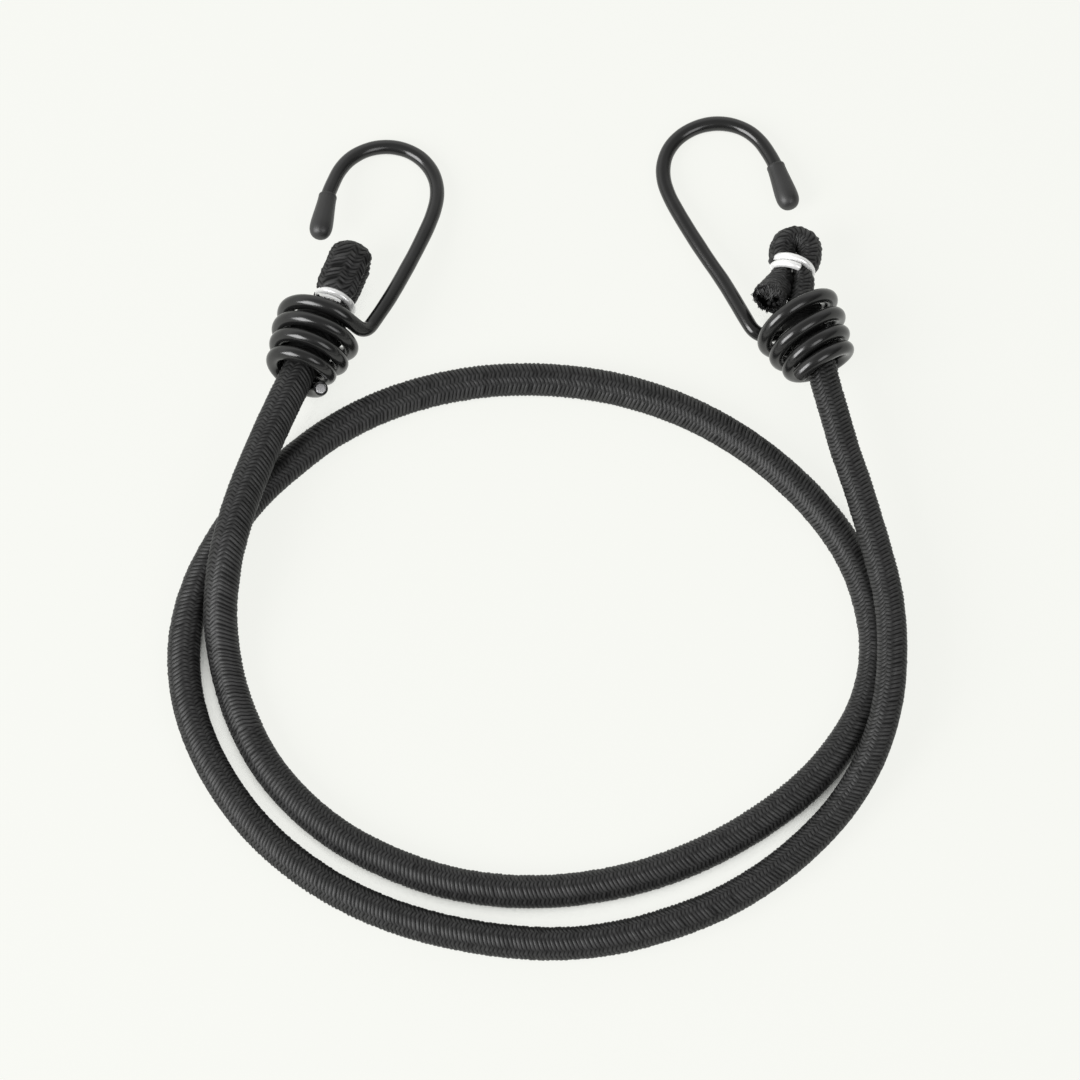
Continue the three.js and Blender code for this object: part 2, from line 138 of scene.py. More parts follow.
RIGHT = {
  # coil: a point on its axis, the axis towards the hook's arc, and the shank's side of it
  "coilAt": [55.98, -16.14, 10.72],
  "coilAxis": [-0.4523, 0.8876, -0.0872],
  "shankSide": [-0.8910, -0.4540, -0.0000],
  # wound right-handed: [angle in degrees from the shank's side, radius, distance along the axis]
  "turns": [
    [-1440, 8.10, -17.10], [-1395, 7.00, -16.98], [-1350, 6.45, -16.67], [-1305, 6.46, -16.00], [-1260, 6.85, -15.11],
    [-1215, 7.52, -14.30], [-1170, 7.88, -13.78], [-1125, 7.85, -13.52], [-1080, 7.80, -13.36], [-1035, 7.51, -13.17],
    [-990, 7.40, -12.74], [-945, 7.59, -12.00], [-900, 7.84, -11.16], [-855, 8.14, -10.49], [-810, 8.53, -9.95],
    [-765, 8.87, -9.53], [-720, 9.15, -9.18], [-675, 9.01, -8.95], [-630, 8.76, -8.53], [-585, 8.94, -7.63],
    [-540, 8.98, -6.76], [-495, 9.17, -6.07], [-450, 9.46, -5.48], [-405, 9.71, -4.94], [-360, 9.80, -4.38],
    [-315, 9.75, -3.80], [-270, 9.68, -3.15], [-225, 9.54, -2.54], [-180, 9.37, -1.98], [-135, 9.21, -1.41],
    [-90, 9.05, -0.84], [-45, 8.89, -0.27]
  ],
  "coilFrom": -1418.0,
  "coilTo": -58.0,
  "coilSteps": 42,
  # corner where the wire turns up into the shank, and the plane of shank, arc and tip
  "corner": [47.53, -21.51, 6.88],
  "along": [-0.4949, 0.8642, -0.0906],
  "across": [0.8678, 0.4968, -0.0019],
  # centreline of shank, arc and tip in that plane: [along, across]
  "bend": [
    [16.50, 0.54], [25.00, 0.34], [33.00, 0.34], [40.23, 0.60], [44.10, 0.97], [47.89, 1.86],
    [51.35, 3.62], [54.16, 6.30], [56.00, 9.71], [56.68, 13.53], [56.29, 17.40], [54.83, 21.00],
    [52.40, 24.03], [49.20, 26.23], [45.49, 27.36], [41.60, 27.56], [37.71, 27.30], [34.28, 26.57],
    [28.71, 25.38]
  ],
  "arcTop": 9,
  "capMouth": [52.56, 24.64, 3.41],
  "capEnd": [56.29, 12.96, 4.51],
  # folded cord end, from below the coil, up to the fold and back to the cut:
  # [x, y, z, half its size in the fold's plane, half its size across that plane]
  "fold": [
    [63.93, -36.01, 11.94, 3.55, 3.55], [62.56, -29.69, 11.88, 3.60, 3.60], [60.75, -22.35, 11.38, 3.70, 3.70], [57.76, -14.09, 11.78, 3.20, 3.40],
    [58.01, -11.31, 11.32, 2.70, 3.20], [57.96, -9.58, 11.00, 2.25, 3.00], [57.37, -7.96, 10.81, 1.50, 2.50], [57.87, -5.68, 10.50, 1.50, 2.50],
    [58.46, -3.43, 10.19, 1.50, 2.50], [59.78, -2.22, 10.00, 2.60, 3.10], [60.16, -0.83, 9.81, 3.00, 3.35], [60.12, 0.79, 9.60, 3.00, 3.35],
    [59.26, 2.17, 9.45, 3.00, 3.35], [57.83, 2.94, 9.40, 3.00, 3.35], [56.20, 2.90, 9.45, 3.00, 3.35], [54.81, 2.06, 9.60, 3.00, 3.35],
    [54.04, 0.64, 9.81, 3.00, 3.35], [53.90, -0.81, 10.00, 2.70, 3.10], [54.96, -2.59, 10.19, 1.50, 2.50], [54.47, -4.87, 10.50, 1.50, 2.50],
    [53.87, -7.12, 10.81, 1.50, 2.50], [52.60, -8.38, 11.16, 2.30, 2.80], [51.78, -9.85, 11.83, 2.80, 2.90], [51.20, -11.85, 12.91, 3.00, 2.90],
    [50.76, -13.66, 14.06, 3.10, 2.90]
  ],
  # across the fold's plane
  "foldAcross": [0.0304, 0.1269, 0.9914],
  # crimp ring: centre, its axis, and the level direction across it
  "ringAt": [56.17, -5.27, 10.50],
  "ringAxis": [0.2310, 0.9642, -0.1305],
  "ringSide": [0.9725, -0.2330, 0.0000],
}


CORD_R = 4.0
SHEATH_WALL = 0.7
FOLD_R = 3.25
COAT_R = 1.78
WIRE_R = 1.3
ELBOW_R = 3.4
RING_WIRE_R = 0.93
RING_R = 4.62
RING_FROM = 68
RING_SWEEP = 492
RING_PITCH = 2.0


# ---------------------------------------------------------------- curves and meshes
def unit(v):
    v = np.asarray(v, float)
    return v / np.linalg.norm(v, axis=-1, keepdims=True)


def smoothstep(x, a, b):
    t = np.clip((np.asarray(x, float) - a) / (b - a), 0, 1)
    return t * t * (3 - 2 * t)


def resample(line, step):
    """The same line with points evenly spaced."""
    run = np.r_[0, np.cumsum(np.linalg.norm(np.diff(line, axis=0), axis=1))]
    at = np.linspace(0, run[-1], max(2, int(round(run[-1] / step)) + 1))
    return np.stack([np.interp(at, run, line[:, k]) for k in range(3)], 1)


def spline(points, step, per=24):
    """A smooth line through the points, resampled evenly."""
    p = np.array(points, float)
    p = np.vstack([2 * p[0] - p[1], p, 2 * p[-1] - p[-2]])
    out = []
    for i in range(1, len(p) - 2):
        p0, p1, p2, p3 = p[i - 1:i + 3]
        t0 = 0.0
        t1 = t0 + np.linalg.norm(p1 - p0) ** 0.5
        t2 = t1 + np.linalg.norm(p2 - p1) ** 0.5
        t3 = t2 + np.linalg.norm(p3 - p2) ** 0.5
        t = np.linspace(t1, t2, per, endpoint=False)[:, None]
        a1 = (t1 - t) / (t1 - t0) * p0 + (t - t0) / (t1 - t0) * p1
        a2 = (t2 - t) / (t2 - t1) * p1 + (t - t1) / (t2 - t1) * p2
        a3 = (t3 - t) / (t3 - t2) * p2 + (t - t2) / (t3 - t2) * p3
        b1 = (t2 - t) / (t2 - t0) * a1 + (t - t0) / (t2 - t0) * a2
        b2 = (t3 - t) / (t3 - t1) * a2 + (t - t1) / (t3 - t1) * a3
        out.append((t2 - t) / (t2 - t1) * b1 + (t - t1) / (t2 - t1) * b2)
    out.append(p[-2:-1])
    return resample(np.vstack(out), step)


def soften(line, sigma):
    """Evens out a line's curvature; sigma is in points. The ends stay where they are."""
    n = int(4 * sigma) + 1
    kernel = np.exp(-0.5 * (np.arange(-n, n + 1) / sigma) ** 2)
    kernel /= kernel.sum()
    head = 2 * line[0] - line[n:0:-1]
    tail = 2 * line[-1] - line[-2:-n - 2:-1]
    full = np.vstack([head, line, tail])
    return np.stack([np.convolve(full[:, k], kernel, "valid") for k in range(3)], 1)


def frames(line, first=(0, 0, 1)):
    """Tangents, and normals carried along the line without twist."""
    t = unit(np.gradient(line, axis=0))
    n = np.zeros_like(t)
    v = np.array(first, float)
    if abs(v @ t[0]) > 0.95:
        v = np.array([1.0, 0, 0])
    for i in range(len(line)):
        v = v - (v @ t[i]) * t[i]
        v = v / np.linalg.norm(v)
        n[i] = v
    return t, n, np.cross(t, n)


def make(name, verts, faces, material, smooth=True, **values):
    """A mesh object. verts are in millimetres, faces a list of index arrays."""
    mesh = bpy.data.meshes.new(name)
    mesh.from_pydata((np.asarray(verts, float) * MM).tolist(), [], [f for part in faces for f in np.asarray(part).tolist()])
    mesh.polygons.foreach_set("use_smooth", [smooth] * len(mesh.polygons))
    for key, data in values.items():
        layer = mesh.attributes.new(key, "FLOAT", "POINT")
        layer.data.foreach_set("value", np.asarray(data, np.float32))
    mesh.materials.append(material)
    mesh.update()
    obj = bpy.data.objects.new(name, mesh)
    bpy.context.scene.collection.objects.link(obj)
    return obj


def wall(rows, cols, start=0, flip=False):
    """Quads of a tube whose vertices run ring by ring."""
    i, j = np.meshgrid(np.arange(rows - 1), np.arange(cols), indexing="ij")
    a, b = start + i * cols + j, start + i * cols + (j + 1) % cols
    q = np.stack([a, b, b + cols, a + cols], -1).reshape(-1, 4)
    return q[:, ::-1] if flip else q


def ring_at(centre, n, b, radius, sides):
    t = 2 * np.pi * np.arange(sides) / sides
    return centre[:, None] + (np.cos(t)[None, :, None] * n[:, None] + np.sin(t)[None, :, None] * b[:, None]) * np.asarray(radius)[:, None, None]


def solid_tube(line, radius, sides, dome=0.25, first=(0, 0, 1)):
    """A closed round bar along a line, with slightly rounded ends. radius is one per point."""
    t, n, b = frames(line, first)
    r = np.broadcast_to(np.asarray(radius, float), (len(line),)).copy()
    lines, nn, bb, rr = [line], [n], [b], [r]
    for end, sign in ((0, -1), (-1, 1)):
        for out, share in ((0.6, 0.8), (0.9, 0.45)) if sign > 0 else ((0.9, 0.45), (0.6, 0.8)):
            pos = line[end] + t[end] * sign * dome * out * r[end]
            if sign < 0:
                k = len(lines) - 1
                lines.insert(k, pos[None]); nn.insert(k, n[end][None]); bb.insert(k, b[end][None]); rr.insert(k, [share * r[end]])
            else:
                lines.append(pos[None]); nn.append(n[end][None]); bb.append(b[end][None]); rr.append([share * r[end]])
    c, n2, b2, r2 = np.vstack(lines), np.vstack(nn), np.vstack(bb), np.concatenate(rr)
    v = ring_at(c, n2, b2, r2, sides).reshape(-1, 3)
    poles = np.array([line[0] - t[0] * dome * r[0], line[-1] + t[-1] * dome * r[-1]])
    k, j = len(v), np.arange(sides)
    caps = [np.stack([np.full(sides, k), (j + 1) % sides, j], 1),
            np.stack([np.full(sides, k + 1), (len(c) - 1) * sides + j, (len(c) - 1) * sides + (j + 1) % sides], 1)]
    return np.vstack([v, poles]), [wall(len(c), sides), *caps]


def hollow_tube(line, outer, inner, sides, first=(0, 0, 1)):
    """A closed tube with a bore. outer and inner are one per point; the ends' edges are eased."""
    t, n, b = frames(line, first)
    o = np.broadcast_to(np.asarray(outer, float), (len(line),)).copy()
    i = np.broadcast_to(np.asarray(inner, float), (len(line),)).copy()
    ease = 0.12
    c = np.vstack([line[:1], line[:1] + t[:1] * ease * 0.3, line[:1] + t[:1] * ease, line[1:-1], line[-1:] - t[-1:] * ease, line[-1:] - t[-1:] * ease * 0.3, line[-1:]])
    nn = np.vstack([n[:1]] * 2 + [n[:1], n[1:-1], n[-1:]] + [n[-1:]] * 2)
    bb = np.vstack([b[:1]] * 2 + [b[:1], b[1:-1], b[-1:]] + [b[-1:]] * 2)
    oo = np.r_[o[0] - ease, o[0] - ease * 0.3, o[0], o[1:-1], o[-1], o[-1] - ease * 0.3, o[-1] - ease]
    ii = np.r_[i[0], i[0], i[0], i[1:-1], i[-1], i[-1], i[-1]]
    vo = ring_at(c, nn, bb, oo, sides).reshape(-1, 3)
    vi = ring_at(c, nn, bb, ii, sides).reshape(-1, 3)
    m, k, j = len(vo), len(c), np.arange(sides)
    j1 = (j + 1) % sides
    ends = [np.stack([j, m + j, m + j1, j1], 1),
            np.stack([(k - 1) * sides + j, (k - 1) * sides + j1, m + (k - 1) * sides + j1, m + (k - 1) * sides + j], 1)]
    return np.vstack([vo, vi]), [wall(k, sides), wall(k, sides, m, flip=True), *ends]


# ---------------------------------------------------------------- materials
def shader(name):
    m = bpy.data.materials.new(name)
    m.use_nodes = True
    nodes, links = m.node_tree.nodes, m.node_tree.links
    return m, nodes, links, nodes["Principled BSDF"]


def node(nodes, kind, **settings):
    n = nodes.new(kind)
    for key, value in settings.items():
        setattr(n, key, value)
    return n


def noise(nodes, links, scale, detail=2.0, vector=None, rough=0.5):
    n = node(nodes, "ShaderNodeTexNoise")
    n.inputs["Scale"].default_value = scale
    n.inputs["Detail"].default_value = detail
    n.inputs["Roughness"].default_value = rough
    if vector is None:
        vector = node(nodes, "ShaderNodeTexCoord").outputs["Object"]
    links.new(vector, n.inputs["Vector"])
    return n


def ramp(nodes, links, source, stops):
    r = node(nodes, "ShaderNodeValToRGB")
    e = r.color_ramp.elements
    while len(e) < len(stops):
        e.new(0.5)
    for slot, (place, value) in zip(e, stops):
        slot.position = place
        slot.color = (*value, 1) if hasattr(value, "__len__") else (value, value, value, 1)
    links.new(source, r.inputs["Fac"])
    return r


def spread(nodes, links, source, low, high):
    n = node(nodes, "ShaderNodeMapRange")
    n.inputs["From Min"].default_value, n.inputs["From Max"].default_value = 0.3, 0.7
    n.inputs["To Min"].default_value, n.inputs["To Max"].default_value = low, high
    links.new(source, n.inputs["Value"])
    return n


def bump(nodes, links, bsdf, height, strength, distance):
    b = node(nodes, "ShaderNodeBump")
    b.inputs["Strength"].default_value = strength
    b.inputs["Distance"].default_value = distance
    links.new(height, b.inputs["Height"])
    links.new(b.outputs["Normal"], bsdf.inputs["Normal"])
    return b


def braid_material():
    m, nodes, links, bsdf = shader("braid_yarn")
    rib = node(nodes, "ShaderNodeAttribute", attribute_name="rib")
    tone = node(nodes, "ShaderNodeAttribute", attribute_name="tone")
    uv = node(nodes, "ShaderNodeUVMap", uv_map="yarn")
    run = node(nodes, "ShaderNodeMapping")
    run.inputs["Scale"].default_value = (1.6, 11.0, 1.0)
    links.new(uv.outputs["UV"], run.inputs["Vector"])
    hair = noise(nodes, links, 1.0, 3.0, run.outputs["Vector"], 0.6)
    cloud = noise(nodes, links, 90.0, 3.0)
    # painted shade: darker down between the yarns and inside the coils, paler along their crowns, and painted light on
    # the yarns near the right cut, with uneven dye from yarn to yarn
    add = node(nodes, "ShaderNodeMath", operation="MULTIPLY_ADD")
    links.new(hair.outputs["Fac"], add.inputs[0])
    add.inputs[1].default_value = 0.35
    links.new(rib.outputs["Fac"], add.inputs[2])
    add2 = node(nodes, "ShaderNodeMath", operation="MULTIPLY_ADD")
    links.new(tone.outputs["Fac"], add2.inputs[0])
    add2.inputs[1].default_value = 0.25
    links.new(add.outputs[0], add2.inputs[2])
    add3 = node(nodes, "ShaderNodeMath", operation="MULTIPLY_ADD")
    links.new(cloud.outputs["Fac"], add3.inputs[0])
    add3.inputs[1].default_value = 0.2
    links.new(add2.outputs[0], add3.inputs[2])
    scaled = node(nodes, "ShaderNodeMath", operation="MULTIPLY")
    links.new(add3.outputs[0], scaled.inputs[0])
    scaled.inputs[1].default_value = 0.55
    colour = ramp(nodes, links, scaled.outputs[0], [(0.0, BRAID_DARK), (0.45, BRAID_MID), (1.0, BRAID_PALE)])
    links.new(colour.outputs["Color"], bsdf.inputs["Base Color"])
    links.new(spread(nodes, links, hair.outputs["Fac"], 0.42, 0.56).outputs[0], bsdf.inputs["Roughness"])
    # shine follows the rib value: less down between the yarns and inside the coils, painted shade on the yarns'
    # reflections
    shine = node(nodes, "ShaderNodeMapRange", interpolation_type="SMOOTHSTEP")
    shine.inputs["From Min"].default_value, shine.inputs["From Max"].default_value = 0.05, 0.65
    shine.inputs["To Min"].default_value, shine.inputs["To Max"].default_value = 0.06, 0.32
    links.new(rib.outputs["Fac"], shine.inputs["Value"])
    links.new(shine.outputs[0], bsdf.inputs["Specular IOR Level"])
    bump(nodes, links, bsdf, hair.outputs["Fac"], 0.35, 0.00006)
    return m


def coating_material():
    m, nodes, links, bsdf = shader("wire_coating")
    mottle = noise(nodes, links, 260.0, 3.0)
    broad = noise(nodes, links, 60.0, 2.0)
    colour = ramp(nodes, links, broad.outputs["Fac"], [(0.3, 0.0062), (0.7, 0.0085)])
    links.new(colour.outputs["Color"], bsdf.inputs["Base Color"])
    links.new(spread(nodes, links, mottle.outputs["Fac"], COAT_ROUGH - 0.03, COAT_ROUGH + 0.05).outputs[0], bsdf.inputs["Roughness"])
    bsdf.inputs["IOR"].default_value = 1.5
    bump(nodes, links, bsdf, mottle.outputs["Fac"], 0.12, 0.00008)
    return m


def cap_material():
    m, nodes, links, bsdf = shader("tip_cap")
    grain = noise(nodes, links, 900.0, 3.0)
    broad = noise(nodes, links, 120.0, 2.0)
    colour = ramp(nodes, links, broad.outputs["Fac"], [(0.3, 0.013), (0.7, 0.018)])
    links.new(colour.outputs["Color"], bsdf.inputs["Base Color"])
    links.new(spread(nodes, links, broad.outputs["Fac"], 0.38, 0.48).outputs[0], bsdf.inputs["Roughness"])
    bump(nodes, links, bsdf, grain.outputs["Fac"], 0.2, 0.00005)
    return m


def steel_material():
    m, nodes, links, bsdf = shader("steel_wire")
    drag = node(nodes, "ShaderNodeTexWave", wave_type="BANDS", bands_direction="X")
    drag.inputs["Scale"].default_value = 900.0
    drag.inputs["Distortion"].default_value = 6.0
    links.new(node(nodes, "ShaderNodeTexCoord").outputs["Object"], drag.inputs["Vector"])
    colour = ramp(nodes, links, drag.outputs["Fac"], [(0.0, (0.42, 0.42, 0.43)), (1.0, (0.62, 0.62, 0.63))])
    links.new(colour.outputs["Color"], bsdf.inputs["Base Color"])
    bsdf.inputs["Metallic"].default_value = 1.0
    links.new(spread(nodes, links, drag.outputs["Fac"], 0.4, 0.55).outputs[0], bsdf.inputs["Roughness"])
    bump(nodes, links, bsdf, drag.outputs["Fac"], 0.3, 0.00004)
    return m


def ring_material():
    m, nodes, links, bsdf = shader("crimp_wire")
    broad = noise(nodes, links, 300.0, 3.0)
    colour = ramp(nodes, links, broad.outputs["Fac"], [(0.3, (0.74, 0.74, 0.74)), (0.7, (0.85, 0.85, 0.845))])
    links.new(colour.outputs["Color"], bsdf.inputs["Base Color"])
    bsdf.inputs["Metallic"].default_value = 0.45
    links.new(spread(nodes, links, broad.outputs["Fac"], 0.26, 0.38).outputs[0], bsdf.inputs["Roughness"])
    bump(nodes, links, bsdf, broad.outputs["Fac"], 0.15, 0.00006)
    return m


def rubber_material():
    m, nodes, links, bsdf = shader("rubber_core")
    broad = noise(nodes, links, 400.0, 3.0)
    colour = ramp(nodes, links, broad.outputs["Fac"], [(0.3, 0.004), (0.7, 0.011)])
    links.new(colour.outputs["Color"], bsdf.inputs["Base Color"])
    links.new(spread(nodes, links, broad.outputs["Fac"], 0.6, 0.8).outputs[0], bsdf.inputs["Roughness"])
    bsdf.inputs["Specular IOR Level"].default_value = 0.2
    bump(nodes, links, bsdf, broad.outputs["Fac"], 0.3, 0.0001)
    return m


def fibre_material():
    m, nodes, links, bsdf = shader("loose_fibre")
    tone = node(nodes, "ShaderNodeAttribute", attribute_name="tone")
    colour = ramp(nodes, links, tone.outputs["Fac"], [(0.0, 0.006), (0.5, 0.02), (1.0, 0.13)])
    links.new(colour.outputs["Color"], bsdf.inputs["Base Color"])
    bsdf.inputs["Roughness"].default_value = 0.6
    return m


# colour ramp of the braid: BRAID_DARK is the painted shade down between the yarns and inside the coils, BRAID_PALE the
# crowns
BRAID_DARK, BRAID_MID, BRAID_PALE = 0.0024, 0.009, 0.038
COAT_ROUGH = 0.2
BRAID, COATING, CAP = braid_material(), coating_material(), cap_material()
STEEL, RING, RUBBER, FIBRE = steel_material(), ring_material(), rubber_material(), fibre_material()

# ---------------------------------------------------------------- the cord's route, cut to cut
STEP = 0.1
# Folded ends: place along the ring's level, its axis and up, then the half sizes in the fold's plane
# and across it. The cord swells over both edges of the ring that pinches it.
SOFT_LEFT = [(-1.40, -28.36, -0.62, 4.20, 4.20), (-1.00, -20.30, -0.10, 4.20, 4.20), (-0.99, -16.50, -0.06, 4.90, 4.90), (-0.99, -13.50, -0.06, 5.90, 5.90),
             (-0.99, -10.33, -0.07, 6.60, 6.60), (-0.99, -7.60, -0.10, 6.80, 7.00), (-0.80, -5.30, -0.60, 5.90, 6.60),
             (-0.30, -3.40, -1.70, 3.60, 5.00), (-0.10, -1.70, -2.00, 2.30, 4.00), (-0.10, 0.00, -1.95, 2.05, 3.80), (-0.20, 0.90, -2.05, 2.15, 3.90),
             (-0.45, 1.90, -2.60, 2.60, 4.80), (-0.60, 3.60, -3.05, 2.90, 5.00), (-0.63, 7.00, -3.25, 3.00, 5.00), (-0.63, 10.60, -3.25, 3.05, 5.00),
             (-0.63, 12.50, -2.86, 3.05, 4.95), (-0.60, 13.75, -1.65, 3.05, 4.80), (-0.60, 14.20, 0.00, 3.05, 4.70), (-0.60, 13.75, 1.65, 3.05, 4.80),
             (-0.63, 12.50, 2.86, 3.05, 4.95), (-0.63, 10.60, 3.25, 3.05, 5.00), (-0.63, 7.00, 3.25, 3.05, 5.00), (-0.60, 3.60, 3.10, 2.95, 5.00),
             (-0.45, 2.05, 2.65, 2.65, 4.85), (-0.20, 1.00, 2.05, 2.15, 3.85), (-0.10, 0.00, 1.95, 2.05, 3.80), (-0.10, -1.20, 2.10, 2.10, 3.90),
             (-0.10, -2.40, 2.80, 2.30, 4.20), (-0.10, -3.30, 3.70, 2.40, 4.40)]
SOFT_RIGHT = [(14.71, -28.03, -2.24, 3.60, 3.60), (11.70, -22.24, -1.54, 3.90, 3.90), (7.80, -16.60, -1.20, 5.20, 5.60), (5.30, -12.60, -0.90, 5.30, 5.80),
              (4.60, -9.20, -0.20, 4.60, 5.20), (3.60, -6.20, 0.10, 2.90, 3.50), (3.45, -3.80, 0.00, 2.80, 3.40), (3.15, -2.20, 0.00, 2.75, 3.70), (2.20, -1.10, 0.00, 2.20, 3.90),
              (2.10, 0.00, 0.00, 2.15, 3.80), (2.20, 1.00, 0.00, 2.20, 3.90), (2.95, 2.10, 0.00, 3.00, 3.60), (3.10, 3.50, 0.00, 3.15, 3.50),
              (2.95, 5.30, 0.00, 3.15, 3.45), (2.50, 6.90, 0.00, 3.10, 3.40), (1.27, 8.10, 0.00, 3.10, 3.40), (-0.30, 8.50, 0.00, 3.10, 3.40),
              (-1.90, 8.10, 0.00, 3.10, 3.40), (-3.10, 6.90, 0.00, 3.15, 3.40), (-3.40, 5.30, 0.00, 3.30, 3.45), (-3.40, 3.50, 0.00, 3.35, 3.50),
              (-3.20, 2.00, 0.00, 3.20, 3.60), (-2.40, 0.80, 0.00, 2.40, 3.90), (-2.20, 0.00, 0.00, 2.25, 3.80), (-2.20, -1.10, 0.00, 2.30, 3.90),
              (-2.10, -2.30, 0.10, 2.80, 3.40), (-2.20, -4.00, 0.30, 3.30, 3.40), (-2.55, -6.00, 0.80, 3.65, 3.60), (-3.00, -8.00, 1.60, 3.95, 3.80),
              (-3.40, -9.80, 2.40, 4.15, 4.10), (-3.65, -11.50, 3.10, 4.25, 4.35)]


def placed(side, rows):
    """The rows of a folded end, with their places in the model's frame."""
    axis, level = unit(side["ringAxis"]), unit(side["ringSide"])
    up = np.cross(level, axis)
    return [(*(np.array(side["ringAt"]) + level * u + axis * v + up * w), thin, wide) for u, v, w, thin, wide in rows]


SOFT = {"left": placed(LEFT, SOFT_LEFT), "right": placed(RIGHT, SOFT_RIGHT)}
control = [p[:3] for p in SOFT["left"][::-1]] + LEFT_STRETCH[2:6] + [LOOP[0]] + LOOP[2:58] + [RIGHT_STRETCH[0]] + RIGHT_STRETCH[2:6] + [p[:3] for p in SOFT["right"]]
route = resample(soften(spline(control, STEP), 4.0), STEP)
S = np.r_[0, np.cumsum(np.linalg.norm(np.diff(route, axis=0), axis=1))]
TOTAL = S[-1]
T, N, B = frames(route, (0, 0, 1))


def along(point):
    return S[np.argmin(np.linalg.norm(route - np.array(point[:3]), axis=1))]


SEAM = [along(LEFT["fold"][0]), along(LOOP[0]), along(RIGHT_STRETCH[0]), along(RIGHT["fold"][0])]


def at(s, data):
    return np.stack([np.interp(s, S, data[:, k]) for k in range(3)], -1)


def fold_table(rows, across):
    """Distance along the route and the pressed half sizes at each station of a fold."""
    return np.array(sorted((along(p), p[3], p[4]) for p in rows)), np.array(across)


FOLDS = {"left": fold_table(SOFT["left"], LEFT["foldAcross"]), "right": fold_table(SOFT["right"], RIGHT["foldAcross"])}


def radius(s):
    """Outside radius of the braid where it is round."""
    s = np.asarray(s, float)
    return 4.0 + 0.3 * (1 - smoothstep(s, SEAM[0] + 25, SEAM[0] + 78)) - 0.36 * smoothstep(s, SEAM[3] - 190, SEAM[3] - 40)


def sizes(s, name):
    """Half sizes of the pressed cord in the fold's plane and across it."""
    table, _ = FOLDS[name]
    s = np.asarray(s, float)
    near = [np.mean([np.interp(s + d, table[:, 0], table[:, k]) for d in (-0.3, -0.15, 0, 0.15, 0.3)], axis=0) for k in (1, 2)]
    if name == "left":
        w = smoothstep(s, SEAM[0] - 12, SEAM[0] - 1)
    else:
        w = 1 - smoothstep(s, SEAM[3] + 1, SEAM[3] + 8)
    return [n * (1 - w) + radius(s) * w for n in near]


def surface(s, angle, off):
    """Points off the braid's outside at s and angle, with the fold's flattening."""
    s = np.asarray(s, float)
    c, n, b = at(s, route), at(s, N), at(s, B)
    v = np.cos(angle)[..., None] * n + np.sin(angle)[..., None] * b
    out = v * (radius(s) + off)[..., None]
    for name, where in (("left", s < SEAM[0]), ("right", s > SEAM[3])):
        if where.any():
            w = FOLDS[name][1]
            thin, wide = sizes(s[where], name)
            o = np.broadcast_to(off, s.shape)[where]
            part = (v[where] @ w)[..., None]
            rest = v[where] - part * w
            out[where] = rest * np.maximum(thin + o, 0.05)[..., None] + part * w * np.maximum(wide + o, 0.05)[..., None]
    return c + out


# ---------------------------------------------------------------- braided sheath
RIB = 1.0            # one yarn's width along the cord
PER = 4              # rings to a yarn
COLS = 32            # columns of vertices round the cord
LEAN = 0.95          # how far the widest columns of yarns lean along the cord
TURN = -np.pi / 4     # which column lies on top
RIBS = int(TOTAL / RIB) - 1
START = (TOTAL - RIBS * RIB) / 2


def rib_of(s):
    return int(round((s - START) / RIB))


rows = RIBS * PER + 1
ring_s = START + np.arange(rows) * RIB / PER
profile = np.array([-0.27, -0.06, 0.0, -0.06])
col = np.arange(COLS)
# columns of yarns lean one way and the other in turn; two widths of column alternate round the cord
edge = np.array([0, 4, 6, 8, 12, 14, 16])
zig = np.interp(col % 16, edge, np.array([0, 1, 0.5, 1, 0, 0.5, 0]) * LEAN) - 0.5 * LEAN
# beside the left coil the braid is drawn askew: one broad column of long slanting yarns among narrow ones
askew = np.interp(col, [-1, 1, 3, 5, 11, 19, 21, 23, 25, 27, 29, 31, 33], [0, 0.6, 0.9, 0.8, 2.7, 0, 0.8, 0, 0.8, 0, 0.8, 0, 0.6]) - 1.0
askew_edge = np.array([3, 5, 11, 19, 21, 23, 25, 27, 29, 31])
lift = rng.normal(0, 0.04, (RIBS + 2, 13))
tilt = rng.normal(0, 0.035, (RIBS + 2, 13))
slip = np.clip(rng.normal(0, 0.06, (RIBS + 2, 13)), -0.14, 0.14)
tones = rng.random((RIBS + 2, 13))
drawn = (smoothstep(ring_s, SEAM[0] - 32, SEAM[0] - 22) * (1 - smoothstep(ring_s, SEAM[0] + 40, SEAM[0] + 130)))[:, None]
bent = 1 + 0.7 * (1 - smoothstep(ring_s, SEAM[0] - 32, SEAM[0] - 22))[:, None] + 0.4 * smoothstep(ring_s, SEAM[3] + 44, SEAM[3] + 54)[:, None]
# neighbouring columns interlock: every other one sits half a yarn further along, and the yarns dip under where columns meet
half = np.where(drawn > 0.5, (np.searchsorted(askew_edge, col, side="right") % 10)[None], (np.searchsorted(edge, col % 16, side="right") - 1 + 6 * (col // 16))[None])
border = np.where(drawn > 0.5, np.isin(col, askew_edge)[None], np.isin(col % 16, edge)[None])
place = np.arange(rows)[:, None] + PER // 2 * (half % 2)
phase, yarn = place % PER, place // PER
crushed = (1 + 1.5 * (1 - smoothstep(ring_s, SEAM[0] - 36, SEAM[0] - 26)) + 1.0 * smoothstep(ring_s, SEAM[3] + 28, SEAM[3] + 36))[:, None]
grid_s = ring_s[:, None] + zig[None] * bent * (1 - drawn) + askew[None] * drawn + np.where(phase == 0, 0.3, 1.0) * slip[yarn, half] * np.minimum(crushed, 2.0)
grid_s = np.clip(grid_s, 0.0, TOTAL)
grid_a = (2 * np.pi * col / COLS)[None] + TURN + np.pi / 4 * smoothstep(grid_s, SEAM[0] + 5, SEAM[0] + 110) + 0.09 * np.sin(grid_s / 61.0) + 0.04 * np.sin(grid_s / 23.0)
